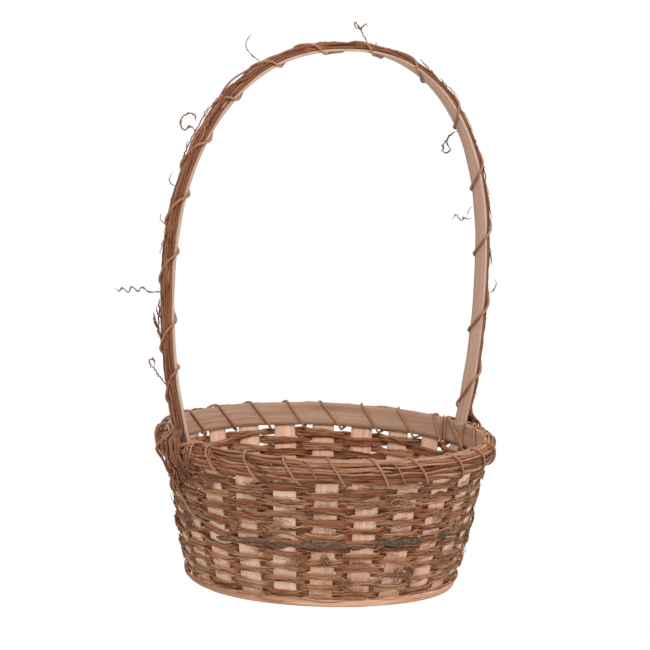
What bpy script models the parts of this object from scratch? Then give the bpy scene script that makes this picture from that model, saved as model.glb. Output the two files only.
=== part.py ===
"""A round market basket with a bow handle, built the way the real one is built.

Twelve wood-chip strips cross in a plain weave to make the base, fold up at the foot and stand as
twenty-four stakes. Rings of vine are woven between the stakes, a split-cane hoop protects the foot,
and at the rim an inner band and a bundle of vines hold the stakes between them under one lashing.
The handle is a bent strip whose tails are pushed down inside the weave, with vines laid along it.

Metres, +Z up. The origin is the centre of the foot, and the handle stands in the XZ plane.
Run it with: blender --background --python part.py
"""

import math

import bpy
from mathutils import Vector

GAP = 0.0003  # left between pieces that touch

# The wall is described by the middle line of the stakes.
FOOT_RADIUS = 0.1134
RIM_RADIUS = 0.1410
RIM_HEIGHT = 0.1335
WALL_FLARE = 0.75  # below 1, the wall leans out faster near the foot
RIM_OVALITY = 0.05  # the foot is round, and the rim is this much longer in Y than in X

# Wood-chip strips: the base and the stakes.
STAKE_COUNT = 24
STAKE_STEP = 2 * math.pi / STAKE_COUNT
STRIP_WIDTH = 0.0200
STRIP_THICK = 0.0012
LONG_WAY = range(-3, 4)  # places of the strips along X; 0 is the middle one
SHORT_WAY = range(-2, 3)  # and of those along Y
STRIP_CLEARANCE = 0.0008  # a strip passes over or under this far outside its neighbour's edge
BASE_LEVEL = 0.0022
BASE_LIFT = (STRIP_THICK + GAP) / 2
STAKE_TOP = 0.1315
HANDLE_STAKE_TOP = 0.1065  # the two stakes at the handle are cut off below the rim band
FOLD_RISE = 0.0010
STAKE_LEVELS = (0.0065, 0.0095, 0.020, 0.035, 0.055, 0.080, 0.105)
STAKE_FULL_WIDTH_LEVEL = STAKE_LEVELS[1]

# Weavers: one ring of vines to each row.
ROW_COUNT = 17
FIRST_ROW = 0.0108
LAST_ROW = 0.1060
WEAVER_HEIGHT = 0.0050
WEAVER_THICK = 0.0024
WEAVER_OUT = STRIP_THICK / 2 + GAP + WEAVER_THICK / 2
WEAVER_PAST_EDGE = 0.0013

# Rim band, inside the stakes.
BAND_THICK = 0.0016
BAND_HEIGHT = 0.0200
BAND_IN = STRIP_THICK / 2 + GAP + BAND_THICK / 2
BAND_STATIONS = 48

# Foot hoop: (radius, height) round its section, from the inner bottom edge.
HOOP_SECTION = (
    (0.1163, 0.0),
    (0.1178, 0.0),
    (0.1193, 0.0032),
    (0.1202, 0.0058),
    (0.1197, 0.0066),
    (0.1183, 0.0066),
)
HOOP_STEPS = 48

# Rim vines, outside the stakes: three stout ones, and two thin ones in the grooves between them.
STOUT_VINE = 0.0029
THIN_VINE = 0.0020
VINE_PITCH = 0.0066
LOWEST_VINE = 0.1160
VINE_SEAT = 0.0007  # between the stakes and the stout vines, which are straight over each stake
STOUT_OUT = STRIP_THICK / 2 + VINE_SEAT + STOUT_VINE
THIN_OUT = STOUT_OUT + math.sqrt((STOUT_VINE + THIN_VINE + GAP) ** 2 - (VINE_PITCH / 2) ** 2)

# Handle strip. Its foot takes the place of the cut stake, outside the rim band, and its tail lies
# inside the stake.
HANDLE_WIDTH = 0.0170
HANDLE_THICK = 0.0024
TAIL_WIDTH = 0.0130
TAIL_IN = STRIP_THICK / 2 + GAP + HANDLE_THICK / 2
FOOT_OUT = HANDLE_THICK / 2 - STRIP_THICK / 2
TAIL_LEVELS = (0.058, 0.082, 0.1085)
FOOT_LEVELS = (0.1128, 0.1240)
ARCH_HALF_WIDTH = 0.1583
ARCH_WIDEST = 0.2680
ARCH_TOP = 0.4715
ARCH_SQUARENESS = 2.3  # 2 is an ellipse
ARCH_STATIONS = 48
LEG_CURVE = (ARCH_HALF_WIDTH - RIM_RADIUS - FOOT_OUT) / (ARCH_WIDEST - RIM_HEIGHT) ** 2
LEG_STEPS = 40
BOW_STEPS = 160
ARCH_LEAN = 0.0022
ARCH_LEAN_WAVE = 1.4  # of the arch's height

# Vines on the handle: (out from the wall, height) below their last station on the leg.
HANDLE_VINE = 0.0015
HANDLE_VINE_COUNT = 4
HANDLE_VINE_PITCH = 0.0034
HANDLE_VINE_OUT = HANDLE_THICK / 2 + GAP + HANDLE_VINE
VINE_LEAVES_STRIP = 0.1500
VINE_FOOT = (
    (0.0068, 0.1400),
    (0.0135, 0.1340),
    (0.0155, 0.1280),
    (0.0155, 0.1160),
    (0.0120, 0.1090),
    (0.0056, 0.1030),
    (0.0053, 0.0960),
)
HANDLE_BUMP = 0.0012  # the rim vines stand off this much more where the handle strip passes
HANDLE_BUMP_FULL = math.radians(8)
HANDLE_BUMP_END = math.radians(20)

# Lashings are one thin vine. A section lists (across, out, share of the turn done).
LASH = 0.0009
RIM_LASH_SECTION = (
    (0.0076, 0.1338, 0.00),
    (0.0114, 0.1285, 0.08),
    (0.0114, 0.1165, 0.28),
    (0.0094, 0.1128, 0.34),
    (0.0050, 0.1105, 0.38),
    (-0.0034, 0.1103, 0.43),
    (-0.0039, 0.1130, 0.47),
    (-0.0040, 0.1340, 0.92),
    (-0.0026, 0.1350, 0.95),
    (0.0034, 0.1350, 0.98),
)
RIM_LASH_START = math.radians(1.2)
RIM_LASH_DODGE = math.radians(-6)  # moves the turns at the handle clear of its strip
RIM_LASH_DODGE_SPREAD = math.radians(3)
WRAP_SECTION = (
    (-0.0090, -0.0025, 0.00),
    (0.0090, -0.0025, 0.40),
    (0.0099, -0.0010, 0.43),
    (0.0099, 0.0028, 0.48),
    (0.0069, 0.0060, 0.52),
    (0.0, 0.0060, 0.70),
    (-0.0069, 0.0060, 0.88),
    (-0.0099, 0.0028, 0.92),
    (-0.0099, -0.0010, 0.97),
)
WRAP_START_SHARE = 0.2  # a wrap starts in the middle of its pass under the strip
WRAP_TURNS = 15
WRAP_START = 0.0318  # along the bow from its left foot
WRAP_PITCH = 0.04045  # between the first turns
WRAP_GROWTH = 0.00085  # the pitch grows by twice this from one turn to the next

CHIP = ("wood_chip", (0.62, 0.48, 0.36), 0.75)
CANE = ("split_cane", (0.60, 0.44, 0.30), 0.70)
BAND = ("rim_chip", (0.52, 0.37, 0.25), 0.75)
VINE = ("brown_vine", (0.20, 0.085, 0.045), 0.60)
DARK_VINE = ("dark_vine", (0.15, 0.065, 0.038), 0.60)
TAN_VINE = ("tan_vine", (0.36, 0.20, 0.11), 0.60)


def clear_scene():
    for obj in list(bpy.data.objects):
        bpy.data.objects.remove(obj, do_unlink=True)


def get_material(name, colour, roughness):
    material = bpy.data.materials.get(name)
    if material is None:
        material = bpy.data.materials.new(name)
        material.use_nodes = True
        shader = material.node_tree.nodes["Principled BSDF"]
        shader.inputs["Base Color"].default_value = (*colour, 1.0)
        shader.inputs["Roughness"].default_value = roughness
        shader.inputs["Metallic"].default_value = 0.0
        material.diffuse_color = (*colour, 1.0)
    return material


def add_object(name, data, look):
    obj = bpy.data.objects.new(name, data)
    data.materials.append(get_material(*look))
    bpy.data.collections["woven_market_basket"].objects.link(obj)
    obj.parent = bpy.data.objects["basket"]
    return obj


def add_ribbon(name, first_edge, second_edge, thickness, look, cyclic=False):
    """A flat strip between two edge lines, thickened both ways from its middle surface."""
    count = len(first_edge)
    points = [point for pair in zip(first_edge, second_edge) for point in pair]
    faces = []
    for i in range(count if cyclic else count - 1):
        after = (i + 1) % count
        faces.append((2 * i, 2 * i + 1, 2 * after + 1, 2 * after))
    mesh = bpy.data.meshes.new(name)
    mesh.from_pydata(points, [], faces)
    obj = add_object(name, mesh, look)
    solidify = obj.modifiers.new("thickness", "SOLIDIFY")
    solidify.thickness = thickness
    solidify.offset = 0.0
    solidify.use_even_offset = True
    return obj


def add_vine(name, points, radius, look, cyclic=False, bevel_resolution=1):
    curve = bpy.data.curves.new(name, "CURVE")
    curve.dimensions = "3D"
    curve.bevel_depth = radius
    curve.bevel_resolution = bevel_resolution
    curve.use_fill_caps = not cyclic
    spline = curve.splines.new("POLY")
    spline.points.add(len(points) - 1)
    for point, place in zip(spline.points, points):
        point.co = (*place, 1.0)
    spline.use_cyclic_u = cyclic
    return add_object(name, curve, look)


def smooth(value):
    value = min(max(value, 0.0), 1.0)
    return value * value * (3 - 2 * value)


def wall_radius(height):
    share = max(height, 0.0) / RIM_HEIGHT
    return FOOT_RADIUS + (RIM_RADIUS - FOOT_RADIUS) * share**WALL_FLARE


def wall_point(angle, height, along=0.0, out=0.0):
    """A point on the stakes' middle line, moved along the wall's tangent and then outwards."""
    radius_x = wall_radius(height)
    radius_y = radius_x * (1 + RIM_OVALITY * max(height, 0.0) / RIM_HEIGHT)
    tangent = Vector((-radius_x * math.sin(angle), radius_y * math.cos(angle), 0)).normalized()
    outward = Vector((tangent.y, -tangent.x, 0))
    middle = Vector((radius_x * math.cos(angle), radius_y * math.sin(angle), height))
    return middle + tangent * along + outward * out


def off_handle(angle):
    """The signed angle to the nearer of the handle's two feet, at 0 and 180 degrees."""
    return (angle + math.pi / 2) % math.pi - math.pi / 2


def rim_rise(angle):
    """How far the rim vines stand out: straight from gap to gap over each stake, and over the handle."""
    off_stake = (angle + STAKE_STEP / 2) % STAKE_STEP - STAKE_STEP / 2
    facet = RIM_RADIUS * (1 / math.cos(off_stake) - 1)
    fall = (abs(off_handle(angle)) - HANDLE_BUMP_FULL) / (HANDLE_BUMP_END - HANDLE_BUMP_FULL)
    return facet + HANDLE_BUMP * (1 - smooth(fall))


def base_point(runs_along_x, run, across, height):
    return Vector((run, across, height) if runs_along_x else (across, run, height))


def strip_end(runs_along_x, offset, edge, end, start_level):
    """One edge of one end of a strip, from its fold at the foot to the top of its stake."""
    run = math.sqrt(FOOT_RADIUS**2 - (offset + edge) ** 2)
    fold = base_point(runs_along_x, end * run, offset + edge, start_level)
    middle = base_point(runs_along_x, end * math.sqrt(FOOT_RADIUS**2 - offset**2), offset, 0.0)
    fold_angle = math.atan2(fold.y, fold.x)
    angle = math.atan2(middle.y, middle.x)
    tangent = wall_point(angle, 0.0, 1.0) - wall_point(angle, 0.0)
    along = math.copysign(edge, edge * tangent.dot(base_point(runs_along_x, 0.0, 1.0, 0.0)))
    top = HANDLE_STAKE_TOP if runs_along_x and offset == 0 else STAKE_TOP
    points = [fold]
    for level in (start_level + FOLD_RISE, *STAKE_LEVELS, top):
        share = smooth((level - start_level) / (STAKE_FULL_WIDTH_LEVEL - start_level))
        at_fold = wall_point(fold_angle, level)
        points.append(at_fold.lerp(wall_point(angle, level, along), share))
    return points


def add_strip(name, runs_along_x, index, offset, crossings):
    """One strip: up one wall, across the base over and under its neighbours, and up the other wall."""
    reach = STRIP_WIDTH / 2 + STRIP_CLEARANCE
    stations = []
    for other, place in crossings:
        over = (index + other) % 2 == 0
        lift = BASE_LIFT if over == runs_along_x else -BASE_LIFT
        stations += [(place - reach, BASE_LEVEL + lift), (place + reach, BASE_LEVEL + lift)]
    edges = []
    for edge in (-STRIP_WIDTH / 2, STRIP_WIDTH / 2):
        start = strip_end(runs_along_x, offset, edge, -1, stations[0][1])
        middle = [base_point(runs_along_x, run, offset + edge, level) for run, level in stations]
        finish = strip_end(runs_along_x, offset, edge, 1, stations[-1][1])
        edges.append(start[::-1] + middle + finish)
    add_ribbon(name, *edges, STRIP_THICK, CHIP)


def add_strips():
    """Seven strips run along X and five along Y, spaced so that their ends share out the foot evenly."""
    long_way = [(i, FOOT_RADIUS * math.sin(i * STAKE_STEP)) for i in LONG_WAY]
    short_way = [(i, FOOT_RADIUS * math.sin(i * STAKE_STEP)) for i in SHORT_WAY]
    for index, offset in long_way:
        add_strip(f"stake_strip_x{index - LONG_WAY[0] + 1}", True, index, offset, short_way)
    for index, offset in short_way:
        add_strip(f"stake_strip_y{index - SHORT_WAY[0] + 1}", False, index, offset, long_way)


def add_weaver(row):
    """One ring: outside one stake, inside the next, and the other way round on the row above."""
    height = FIRST_ROW + row * (LAST_ROW - FIRST_ROW) / (ROW_COUNT - 1)
    past_edge = STRIP_WIDTH / 2 + WEAVER_PAST_EDGE
    edges = []
    for level in (height - WEAVER_HEIGHT / 2, height + WEAVER_HEIGHT / 2):
        points = []
        for stake in range(STAKE_COUNT):
            out = WEAVER_OUT if (stake + row) % 2 else -WEAVER_OUT
            at_handle = stake % (STAKE_COUNT // 2) == 0
            if at_handle and out < 0 and level > TAIL_LEVELS[0] - WEAVER_HEIGHT:
                out -= HANDLE_THICK + GAP
            for along in (-past_edge, past_edge):
                points.append(wall_point(stake * STAKE_STEP, level, along, out))
        edges.append([point - Vector((0, 0, height)) for point in points])
    look = (VINE, DARK_VINE)[row % 2]
    weaver = add_ribbon(f"weaver_{row + 1:02d}", *edges, WEAVER_THICK, look, cyclic=True)
    weaver.location.z = height


def add_foot_hoop():
    mesh = bpy.data.meshes.new("foot_hoop")
    points = [(radius, 0.0, height) for radius, height in HOOP_SECTION]
    edges = [((i + 1) % len(points), i) for i in range(len(points))]
    mesh.from_pydata(points, edges, [])
    hoop = add_object("foot_hoop", mesh, CANE)
    screw = hoop.modifiers.new("turn", "SCREW")
    screw.steps = screw.render_steps = HOOP_STEPS
    screw.use_merge_vertices = True
    screw.merge_threshold = 0.00001


def add_rim_band():
    edges = []
    for level in (RIM_HEIGHT - BAND_HEIGHT, RIM_HEIGHT):
        angles = [i * 2 * math.pi / BAND_STATIONS for i in range(BAND_STATIONS)]
        edges.append([wall_point(angle, level, out=-BAND_IN) for angle in angles])
    add_ribbon("rim_band", *edges, BAND_THICK, BAND, cyclic=True)


def add_rim_vines():
    stout = [(STOUT_OUT, LOWEST_VINE + i * VINE_PITCH, STOUT_VINE) for i in range(3)]
    thin = [(THIN_OUT, LOWEST_VINE + (i + 0.5) * VINE_PITCH, THIN_VINE) for i in range(2)]
    for number, (out, level, radius) in enumerate(stout + thin, 1):
        points = []
        for i in range(STAKE_COUNT):
            angle = (i + 0.5) * STAKE_STEP
            points.append(wall_point(angle, level, out=out + rim_rise(angle)))
        add_vine(f"rim_vine_{number}", points, radius, DARK_VINE, cyclic=True)


def add_rim_lashing():
    """One vine wound round band, stakes and rim vines: down outside, and up inside the basket."""
    points = []
    for turn in range(STAKE_COUNT):
        for out, level, share in RIM_LASH_SECTION:
            angle = RIM_LASH_START + (turn + share) * STAKE_STEP
            off_start = off_handle(angle - RIM_LASH_START)
            angle += RIM_LASH_DODGE * math.exp(-0.5 * (off_start / RIM_LASH_DODGE_SPREAD) ** 2)
            if out > STOUT_OUT:
                out += rim_rise(angle)
            points.append(wall_point(angle, level, out=out))
    add_vine("rim_lashing", points, LASH, TAN_VINE, cyclic=True, bevel_resolution=0)


def resample(points, count):
    """The given number of points, spaced evenly along a line through many."""
    lengths = [0.0]
    for before, after in zip(points, points[1:]):
        lengths.append(lengths[-1] + (after - before).length)
    result = []
    piece = 0
    for i in range(count):
        length = lengths[-1] * i / (count - 1)
        while piece < len(points) - 2 and lengths[piece + 1] < length:
            piece += 1
        share = (length - lengths[piece]) / (lengths[piece + 1] - lengths[piece])
        result.append(points[piece].lerp(points[piece + 1], share))
    return result


def lean(point):
    """The real handle leans a little one way at half height and the other way at the top."""
    rise = (point.z - RIM_HEIGHT) / (ARCH_TOP - RIM_HEIGHT)
    return point - Vector((ARCH_LEAN * math.sin(2 * math.pi * rise / ARCH_LEAN_WAVE), 0, 0))


def arch_points():
    """The handle strip's middle line above the rim, from the foot at -X over the top to +X."""
    half = []
    for i in range(LEG_STEPS):
        level = RIM_HEIGHT + (ARCH_WIDEST - RIM_HEIGHT) * i / LEG_STEPS
        half.append(Vector((ARCH_HALF_WIDTH - LEG_CURVE * (ARCH_WIDEST - level) ** 2, 0, level)))
    for i in range(BOW_STEPS + 1):
        turn = math.pi / 2 * i / BOW_STEPS
        across = ARCH_HALF_WIDTH * max(math.cos(turn), 0.0) ** (2 / ARCH_SQUARENESS)
        level = ARCH_WIDEST + (ARCH_TOP - ARCH_WIDEST) * math.sin(turn) ** (2 / ARCH_SQUARENESS)
        half.append(Vector((across, 0, level)))
    other_half = [Vector((-point.x, 0, point.z)) for point in half]
    return [lean(point) for point in resample(other_half + half[-2::-1], ARCH_STATIONS)]


def arch_normals(points):
    normals = []
    for i in range(len(points)):
        run = points[min(i + 1, len(points) - 1)] - points[max(i - 1, 0)]
        normals.append(Vector((-run.z, 0, run.x)).normalized())
    return normals


def foot_points(side, out_and_level):
    """Points beside the foot of the handle: side is -1 or 1, and out is from the stakes' line."""
    return [Vector((side * (wall_radius(level) + out), 0, level)) for out, level in out_and_level]


def add_handle_strip(arch):
    line = [(-TAIL_IN, level) for level in TAIL_LEVELS] + [(FOOT_OUT, level) for level in FOOT_LEVELS]
    middle = foot_points(-1, line) + arch + foot_points(1, line)[::-1]
    edges = []
    for side in (-1, 1):
        edge = []
        for point in middle:
            low = smooth((RIM_HEIGHT - point.z) / (RIM_HEIGHT - TAIL_LEVELS[-1]))
            width = HANDLE_WIDTH + (TAIL_WIDTH - HANDLE_WIDTH) * low
            edge.append(point + Vector((0, side * width / 2, 0)))
        edges.append(edge)
    add_ribbon("handle_strip", *edges, HANDLE_THICK, CHIP)


def add_handle_vines(arch, normals):
    """Vines along the back of the strip, which pass outside the rim and end in the weave below it."""
    stations = [
        point + normal * HANDLE_VINE_OUT
        for point, normal in zip(arch, normals)
        if point.z > VINE_LEAVES_STRIP
    ]
    line = foot_points(-1, VINE_FOOT)[::-1] + stations + foot_points(1, VINE_FOOT)
    for i in range(HANDLE_VINE_COUNT):
        across = Vector((0, (i - (HANDLE_VINE_COUNT - 1) / 2) * HANDLE_VINE_PITCH, 0))
        points = [point + across for point in line]
        add_vine(f"handle_vine_{i + 1}", points, HANDLE_VINE, VINE, bevel_resolution=0)


def add_wrap(arch, normals):
    """A vine wound round the strip and its vines, in turns that get longer towards the right foot."""
    spacing = (arch[1] - arch[0]).length
    points = []
    for turn in range(WRAP_TURNS + 1):
        for across, out, share in WRAP_SECTION:
            done = turn + share - WRAP_START_SHARE
            if not 0 <= done <= WRAP_TURNS:
                continue
            station = (WRAP_START + WRAP_PITCH * done + WRAP_GROWTH * done**2) / spacing
            i = min(int(station), len(arch) - 2)
            middle = arch[i].lerp(arch[i + 1], station - i)
            normal = normals[i].lerp(normals[i + 1], station - i).normalized()
            points.append(middle + normal * out + Vector((0, across, 0)))
    add_vine("handle_wrap", points, LASH, TAN_VINE, bevel_resolution=0)


def add_handle():
    arch = arch_points()
    normals = arch_normals(arch)
    add_handle_strip(arch)
    add_handle_vines(arch, normals)
    add_wrap(arch, normals)


def main():
    clear_scene()
    collection = bpy.data.collections.new("woven_market_basket")
    bpy.context.scene.collection.children.link(collection)
    collection.objects.link(bpy.data.objects.new("basket", None))
    add_strips()
    for row in range(ROW_COUNT):
        add_weaver(row)
    add_foot_hoop()
    add_rim_band()
    add_rim_vines()
    add_rim_lashing()
    add_handle()


main()
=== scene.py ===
"""The looks of the woven market basket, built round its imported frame.

Each CAD node is replaced by a finer piece in the same place: sawn strips with grain, rows woven from
several uneven vines, a rim of vines under a lashing, and a bow handle wrapped with vines and tendrils.
Metres and radians. +Z is up, and the handle stands in the XZ plane.
"""

import math

import bpy
import numpy as np
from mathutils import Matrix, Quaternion, Vector


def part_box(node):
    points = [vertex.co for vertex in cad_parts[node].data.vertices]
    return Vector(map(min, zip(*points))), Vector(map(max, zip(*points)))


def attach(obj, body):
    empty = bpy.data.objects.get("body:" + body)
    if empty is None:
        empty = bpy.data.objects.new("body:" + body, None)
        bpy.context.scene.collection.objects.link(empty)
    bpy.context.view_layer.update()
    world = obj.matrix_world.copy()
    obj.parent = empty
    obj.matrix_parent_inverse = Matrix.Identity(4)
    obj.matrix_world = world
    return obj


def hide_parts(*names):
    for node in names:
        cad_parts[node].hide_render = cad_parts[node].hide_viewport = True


MM = 0.001
TAU = 2 * math.pi

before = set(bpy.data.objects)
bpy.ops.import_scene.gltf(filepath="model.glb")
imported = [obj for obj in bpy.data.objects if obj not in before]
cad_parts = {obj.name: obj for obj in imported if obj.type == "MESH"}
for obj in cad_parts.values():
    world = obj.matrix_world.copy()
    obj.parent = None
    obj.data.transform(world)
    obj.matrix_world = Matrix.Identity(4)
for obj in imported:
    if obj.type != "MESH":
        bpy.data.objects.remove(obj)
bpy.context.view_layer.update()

# ---------------------------------------------------------------- sizes read from the frame

BAND_LOW, BAND_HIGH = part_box("rim_band")
HOOP_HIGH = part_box("foot_hoop")[1]
STRIP_LOW, STRIP_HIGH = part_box("handle_strip")
STAKE_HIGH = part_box("stake_strip_y3")[1]
CUT_STAKE_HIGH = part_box("stake_strip_x4")[1]
ROWS = sorted(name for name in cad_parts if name.startswith("weaver_"))
ROW_HEIGHTS = [(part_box(name)[0].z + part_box(name)[1].z) / 2 for name in ROWS]

STRIP_THICK = 1.2 * MM
STRIP_WIDTH = 20 * MM
BAND_THICK = 1.6 * MM
GAP = 0.3 * MM
BAND_IN = STRIP_THICK / 2 + GAP + BAND_THICK / 2
RIM_HEIGHT = BAND_HIGH.z
RIM_RADIUS = BAND_HIGH.x + BAND_IN - BAND_THICK / 2
FOOT_RADIUS = HOOP_HIGH.x - 6.8 * MM
WALL_FLARE = 0.75
RIM_OVALITY = (BAND_HIGH.y - BAND_HIGH.x) / BAND_HIGH.x
STAKES = 24
STEP = TAU / STAKES

HANDLE_THICK = 2.4 * MM
HANDLE_WIDTH = STRIP_HIGH.y - STRIP_LOW.y
HANDLE_FOOT = RIM_RADIUS + (HANDLE_THICK - STRIP_THICK) / 2
ARCH_TOP = STRIP_HIGH.z - HANDLE_THICK / 2
ARCH_HALF_WIDTH = (STRIP_HIGH.x - STRIP_LOW.x - HANDLE_THICK) / 2
ARCH_WIDEST = 0.268
ARCH_SQUARENESS = 2.3
ARCH_LEAN = 2.2 * MM
ARCH_LEAN_WAVE = 1.4
LEG_CURVE = (ARCH_HALF_WIDTH - HANDLE_FOOT) / (ARCH_WIDEST - RIM_HEIGHT) ** 2


def smooth(value):
    value = np.clip(value, 0.0, 1.0)
    return value * value * (3 - 2 * value)


def wall_radius(height):
    share = np.maximum(height, 0.0) / RIM_HEIGHT
    return FOOT_RADIUS + (RIM_RADIUS - FOOT_RADIUS) * share**WALL_FLARE


def wall(angle, height, out=0.0, along=0.0):
    """Points on the stakes' middle line at these angles and heights, moved outwards and along the wall."""
    angle, height, out, along = np.broadcast_arrays(angle, height, out, along)
    radius_x = wall_radius(height)
    radius_y = radius_x * (1 + RIM_OVALITY * np.maximum(height, 0.0) / RIM_HEIGHT)
    tangent = np.stack([-radius_x * np.sin(angle), radius_y * np.cos(angle)], axis=-1)
    tangent /= np.linalg.norm(tangent, axis=-1, keepdims=True)
    x = radius_x * np.cos(angle) + tangent[..., 0] * along + tangent[..., 1] * out
    y = radius_y * np.sin(angle) + tangent[..., 1] * along - tangent[..., 0] * out
    return np.stack([x, y, height], axis=-1)


def outward(angle):
    angle = np.asarray(angle)
    return np.stack([np.cos(angle), np.sin(angle), np.zeros_like(angle)], axis=-1)


class Wobble:
    """A smooth random curve: a few sine waves with seeded phases."""

    def __init__(self, rng, size, longest, waves=4):
        self.size = size / math.sqrt(waves)
        self.phases = rng.uniform(0, TAU, waves)
        self.rates = TAU / (longest / (1 + np.arange(waves) * rng.uniform(0.6, 1.1)))

    def __call__(self, length):
        length = np.asarray(length)[..., None]
        return self.size * np.sin(length * self.rates + self.phases).sum(axis=-1)


# ---------------------------------------------------------------- mesh building


class Builder:
    """Collects tubes and slabs into one mesh, with UVs along the grain and two numbers on each point."""

    def __init__(self):
        self.points = []
        self.faces = []
        self.uvs = []
        self.tones = []
        self.barks = []
        self.count = 0

    def add_points(self, points, tone, bark):
        start = self.count
        self.points.append(points)
        self.tones.append(np.full(len(points), tone))
        self.barks.append(np.full(len(points), bark))
        self.count += len(points)
        return start

    def tube(self, points, radius, tone=0.5, bark=0.0, sides=6, up=None, flat=1.0, lump=0.0, rng=None):
        """A closed tube along the points. Up gives the direction that flat squashes it along."""
        points = np.asarray(points, float)
        count = len(points)
        radius = np.broadcast_to(radius, count)
        run = np.gradient(points, axis=0)
        run /= np.linalg.norm(run, axis=1, keepdims=True)
        side = carried_normals(run) if up is None else up - run * np.sum(up * run, axis=1, keepdims=True)
        side = side / np.linalg.norm(side, axis=1, keepdims=True)
        other = np.cross(run, side)
        turn = TAU * np.arange(sides) / sides
        around = np.cos(turn)[None, :, None] * side[:, None] * flat
        around = around + np.sin(turn)[None, :, None] * other[:, None]
        size = radius[:, None, None]
        if lump:
            size = size * (1 + lump * rng.uniform(-1, 1, (count, sides, 1)))
        rings = points[:, None] + around * size
        start = self.add_points(rings.reshape(-1, 3), tone, bark)
        length = np.concatenate([[0], np.cumsum(np.linalg.norm(np.diff(points, axis=0), axis=1))])
        shift = 0 if rng is None else rng.uniform(0, 3)
        index = start + np.arange(count * sides).reshape(count, sides)
        after = np.roll(index, -1, axis=1)
        quads = np.stack([index[:-1], after[:-1], after[1:], index[1:]], axis=-1)[..., ::-1]
        self.faces += quads.reshape(-1, 4).tolist()
        low = np.broadcast_to((length[:-1] + shift)[:, None], quads.shape[:2])
        high = np.broadcast_to((length[1:] + shift)[:, None], quads.shape[:2])
        left = np.broadcast_to(np.arange(sides) / sides, quads.shape[:2])
        right = left + 1 / sides
        uv = np.stack([np.stack(c, -1) for c in ((high, left), (high, right), (low, right), (low, left))], 2)
        self.uvs += uv.reshape(-1, 2).tolist()
        for ring, order in ((index[0], 1), (index[-1], -1)):
            self.faces.append(ring[::order].tolist())
            self.uvs += [(shift, 0.5)] * sides

    def slab(self, rows, normals, thickness, tone=0.5, bark=0.0, cyclic=False):
        """A closed board: rows is (stations, points across, 3), thickened both ways along the normals."""
        stations, across = rows.shape[:2]
        half = normals * np.asarray(thickness).reshape(-1, 1, 1) / 2
        top, bottom = rows + half, rows - half
        ring = np.concatenate([top, bottom[:, ::-1]], axis=1)
        sides = 2 * across
        start = self.add_points(ring.reshape(-1, 3), tone, bark)
        middle = rows[:, across // 2]
        length = np.concatenate([[0], np.cumsum(np.linalg.norm(np.diff(middle, axis=0), axis=1))])
        width = np.linalg.norm(rows[:, -1] - rows[:, 0], axis=1).mean()
        place = np.concatenate([np.linspace(0, width, across), np.linspace(width, 0, across)])
        index = start + np.arange(stations * sides).reshape(stations, sides)
        last = stations if cyclic else stations - 1
        for i in range(last):
            now, then = index[i], index[(i + 1) % stations]
            end = length[i + 1] if i + 1 < stations else length[-1] + (length[1] - length[0])
            for k in range(sides):
                m = (k + 1) % sides
                self.faces.append([now[k], now[m], then[m], then[k]])
                self.uvs += [(length[i], place[k]), (length[i], place[m]), (end, place[m]), (end, place[k])]
        if not cyclic:
            for ring, order in ((index[0], -1), (index[-1], 1)):
                self.faces.append(ring[::order].tolist())
                self.uvs += [(0.0, place[k]) for k in range(sides)]

    def finish(self, name, material, slot, *nodes):
        mesh = bpy.data.meshes.new(name)
        mesh.from_pydata(np.concatenate(self.points).tolist(), [], self.faces)
        layer = mesh.uv_layers.new(name="grain")
        layer.data.foreach_set("uv", np.asarray(self.uvs, np.float32).ravel())
        for label, values in (("tone", self.tones), ("bark", self.barks)):
            attribute = mesh.attributes.new(label, "FLOAT", "POINT")
            attribute.data.foreach_set("value", np.concatenate(values).astype(np.float32))
        mesh.shade_smooth()
        mesh.materials.append(material)
        piece = bpy.data.objects.new(name, mesh)
        bpy.context.scene.collection.objects.link(piece)
        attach(piece, "root")
        if nodes:
            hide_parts(*nodes)
        return piece


def carried_normals(run):
    """Directions across a line that turn as little as possible along it."""
    normal = np.cross(run[0], [0.0, 0.0, 1.0])
    if np.linalg.norm(normal) < 0.1:
        normal = np.cross(run[0], [1.0, 0.0, 0.0])
    normals = []
    for direction in run:
        normal = normal - direction * normal.dot(direction)
        normal /= np.linalg.norm(normal)
        normals.append(normal)
    return np.array(normals)


def through(points, spacing):
    """A smooth line through the points (Catmull-Rom), with points about this far apart."""
    points = np.asarray(points, float)
    padded = np.concatenate([[2 * points[0] - points[1]], points, [2 * points[-1] - points[-2]]])
    result = []
    for a, b, c, d in zip(padded, padded[1:], padded[2:], padded[3:]):
        steps = max(2, int(np.linalg.norm(c - b) / spacing))
        t = (np.arange(steps) / steps)[:, None]
        result.append(
            0.5 * (2 * b + (c - a) * t + (2 * a - 5 * b + 4 * c - d) * t**2 + (3 * b - a - 3 * c + d) * t**3)
        )
    return np.concatenate(result + [points[-1:]])


def knuckled(size, spacing, rng, every=65 * MM, most=0.55):
    """The radii with a swelling wherever a leaf once grew, spaced at random."""
    length = np.arange(len(size)) * spacing
    place = rng.uniform(0, every)
    while place < length[-1]:
        size = size * (1 + rng.uniform(0.2, most) * np.exp(-(((length - place) / (1.7 * MM)) ** 2)))
        place += rng.uniform(0.5, 1.6) * every
    return size


def tapered(count, radius, ends=4, least=0.35):
    """A radius for each point that falls off over the last few at both ends."""
    place = np.arange(count)
    near = np.minimum(place, count - 1 - place) / ends
    return radius * (least + (1 - least) * smooth(near))


def uneven(line, radius, ends, size, longest, rng, step=2 * MM, least=0.35):
    """Radii along a line of points a step apart, tapered at its ends and a little uneven between them."""
    place = np.arange(len(line)) * step
    return tapered(len(line), radius, ends, least) * (1 + Wobble(rng, size, longest)(place))


# ---------------------------------------------------------------- materials


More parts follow.
